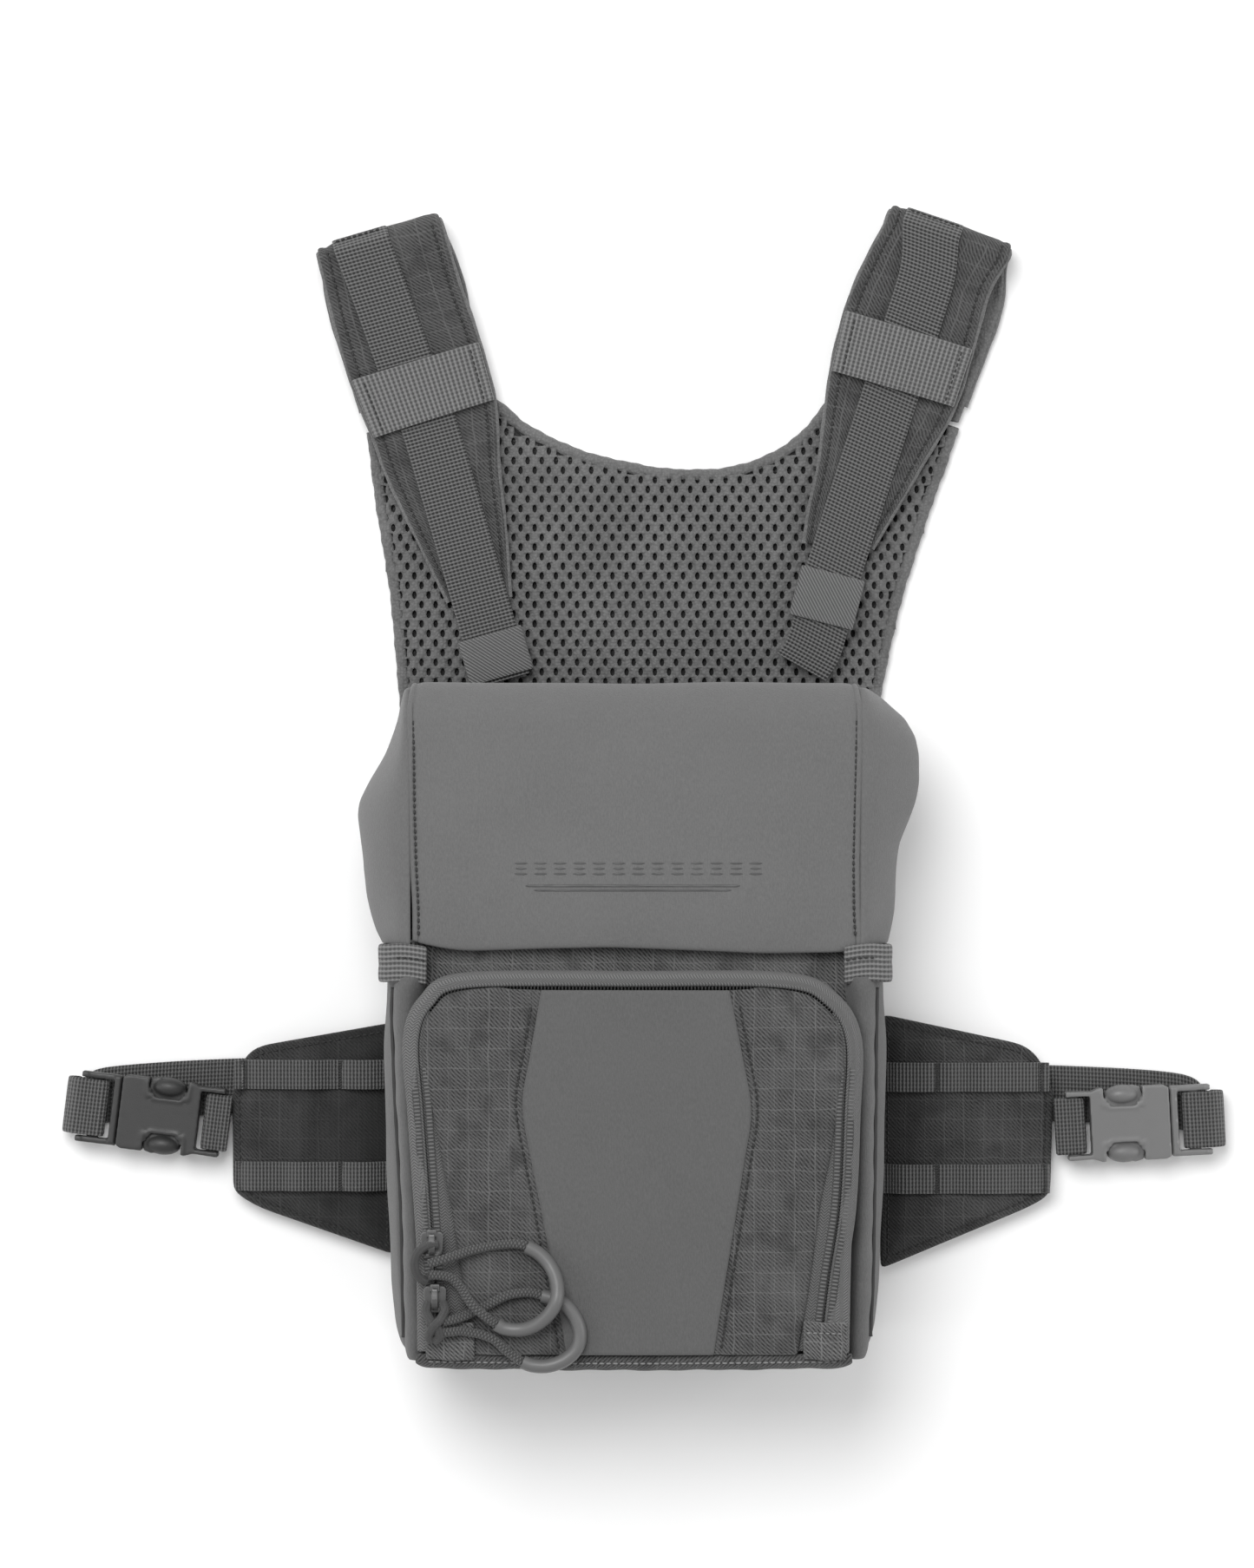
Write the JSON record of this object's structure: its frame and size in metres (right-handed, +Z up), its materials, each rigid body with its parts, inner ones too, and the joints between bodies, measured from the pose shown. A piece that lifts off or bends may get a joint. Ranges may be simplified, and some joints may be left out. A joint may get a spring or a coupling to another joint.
{
  "type": "binocular chest pack harness",
  "caption": "Padded chest pack with hooded lid, zipped front pocket and stretch side pockets, on a mesh yoke with two shoulder straps and two buckled side wings.",
  "frame": {"origin": "on the floor under the middle of the pack, on the flat underside of the back yoke", "axes": "+Z up, away from the wearer's chest, +Y from the pack towards the shoulder straps, +X towards the right side in the front view"},
  "size_m": [0.4357, 0.4275, 0.1136],
  "materials": {
    "spacer_mesh": "3D spacer mesh, matt",
    "ripstop": "coated ripstop, matt",
    "wing_cloth": "padded ripstop, matt",
    "softshell": "brushed softshell, matt",
    "webbing": "woven polyamide webbing",
    "elastic": "knitted elastic",
    "zip_tape": "coated reverse-coil zip tape",
    "buckle_plastic": "moulded acetal, fine satin",
    "painted_zinc": "painted zinc, satin",
    "cord": "braided polyester cord",
    "tube_rubber": "smooth soft tube"
  },
  "bodies": {
    "harness": {"back_yoke": "spacer_mesh", "back_panel": "spacer_mesh", "shoulder_strap_left": "ripstop", "shoulder_strap_right": "ripstop", "pouch_side_left": "ripstop", "pouch_side_right": "ripstop", "pouch_bottom": "ripstop", "pouch_front_wall": "ripstop", "pocket_gusset": "ripstop", "bottom_hem": "ripstop", "strap_web_left": "webbing", "strap_web_right": "webbing", "strap_band_left": "elastic", "strap_band_right": "elastic", "side_pocket_left": "elastic", "side_pocket_right": "elastic", "side_pocket_elastic_left": "elastic", "side_pocket_elastic_right": "elastic", "zip_tape_outer": "zip_tape", "zip_coil": "zip_tape", "catch_plate_left": "painted_zinc", "catch_plate_right": "painted_zinc"},
    "lid": {"lid_panel": "softshell", "lid_gusset_left": "softshell", "lid_gusset_right": "softshell", "lid_magnet_left": "painted_zinc", "lid_magnet_right": "painted_zinc"},
    "pocket_flap": {"flap_side_left": "ripstop", "flap_centre": "softshell", "flap_side_right": "ripstop"},
    "slider_upper": {"zip_slider_upper": "painted_zinc", "slider_bridge_upper": "painted_zinc"},
    "pull_upper": {"pull_cord_upper_out": "cord", "pull_grip_upper": "tube_rubber", "pull_cord_upper_back": "cord"},
    "slider_lower": {"zip_slider_lower": "painted_zinc", "slider_bridge_lower": "painted_zinc"},
    "pull_lower": {"pull_cord_lower_out": "cord", "pull_grip_lower": "tube_rubber", "pull_cord_lower_back": "cord"},
    "wing_left": {"wing_left": "wing_cloth", "wing_web_upper_left": "webbing", "wing_web_lower_left": "webbing", "stub_web_left": "webbing", "buckle_socket_left": "buckle_plastic", "buckle_plug_left": "buckle_plastic", "side_strap_left": "webbing"},
    "prong_left_a": {"buckle_prong_left_a": "buckle_plastic"},
    "prong_left_b": {"buckle_prong_left_b": "buckle_plastic"},
    "keeper_left": {"web_keeper_left": "webbing"},
    "wing_right": {"wing_right": "wing_cloth", "wing_web_upper_right": "webbing", "wing_web_lower_right": "webbing", "stub_web_right": "webbing", "buckle_socket_right": "buckle_plastic", "buckle_plug_right": "buckle_plastic", "side_strap_right": "webbing"},
    "prong_right_a": {"buckle_prong_right_a": "buckle_plastic"},
    "prong_right_b": {"buckle_prong_right_b": "buckle_plastic"},
    "keeper_right": {"web_keeper_right": "webbing"}
  },
  "joints": [
    {"name": "lid_hinge", "type": "hinge", "parent": "harness", "child": "lid", "pos_m": [0, 0.122, 0.022], "axis": [-1, 0, 0], "range_deg": [0, 85]},
    {"name": "pocket_flap_hinge", "type": "hinge", "parent": "harness", "child": "pocket_flap", "pos_m": [0, -0.1168, 0.1003], "axis": [1, 0, 0], "range_deg": [0, 95]},
    {"name": "slider_upper_slide", "type": "slide", "parent": "pocket_flap", "child": "slider_upper", "axis": [-0.0693, 0.9976, 0], "range_m": [0, 0.06]},
    {"name": "slider_lower_slide", "type": "slide", "parent": "pocket_flap", "child": "slider_lower", "axis": [-0.0693, 0.9976, 0], "range_m": [-0.003, 0.005]},
    {"name": "pull_upper_hinge", "type": "hinge", "parent": "slider_upper", "child": "pull_upper", "pos_m": [-0.0743, -0.0835, 0.1069], "axis": [0.0693, -0.9976, 0], "range_deg": [0, 80], "deforming": ["pull_cord_upper_out", "pull_grip_upper", "pull_cord_upper_back"]},
    {"name": "pull_lower_hinge", "type": "hinge", "parent": "slider_lower", "child": "pull_lower", "pos_m": [-0.0732, -0.103, 0.1069], "axis": [0.0693, -0.9976, 0], "range_deg": [0, 80], "deforming": ["pull_cord_lower_out", "pull_grip_lower", "pull_cord_lower_back"]},
    {"name": "wing_left_fold", "type": "hinge", "parent": "harness", "child": "wing_left", "pos_m": [-0.09, -0.044, 0.007], "axis": [0, 1, 0], "range_deg": [0, 55]},
    {"name": "wing_right_fold", "type": "hinge", "parent": "harness", "child": "wing_right", "pos_m": [0.093, -0.046, 0.007], "axis": [0, -1, 0], "range_deg": [0, 55]},
    {"name": "prong_left_a_flex", "type": "hinge", "parent": "wing_left", "child": "prong_left_a", "pos_m": [-0.19028, -0.02817, 0.0094], "axis": [0, 0, -1], "range_deg": [0, 6], "stiffness_Nm_per_rad": 0.08},
    {"name": "prong_left_b_flex", "type": "hinge", "parent": "wing_left", "child": "prong_left_b", "pos_m": [-0.19174, -0.04008, 0.0094], "axis": [0, 0, 1], "range_deg": [0, 6], "stiffness_Nm_per_rad": 0.08},
    {"name": "prong_right_a_flex", "type": "hinge", "parent": "wing_right", "child": "prong_right_a", "pos_m": [0.19961, -0.04404, 0.0094], "axis": [0, 0, -1], "range_deg": [0, 6], "stiffness_Nm_per_rad": 0.08},
    {"name": "prong_right_b_flex", "type": "hinge", "parent": "wing_right", "child": "prong_right_b", "pos_m": [0.19899, -0.03206, 0.0094], "axis": [0, 0, 1], "range_deg": [0, 6], "stiffness_Nm_per_rad": 0.08},
    {"name": "web_keeper_left_slide", "type": "slide", "parent": "harness", "child": "keeper_left", "axis": [0.274, -0.9617, 0], "range_m": [-0.006, 0.0005]},
    {"name": "web_keeper_right_slide", "type": "slide", "parent": "harness", "child": "keeper_right", "axis": [-0.2521, -0.9677, 0], "range_m": [-0.007, 0.008]}
  ],
  "couplings": [
    {"joint": "prong_left_b_flex", "follows": "prong_left_a_flex", "ratio": 1},
    {"joint": "prong_right_b_flex", "follows": "prong_right_a_flex", "ratio": 1}
  ]
}
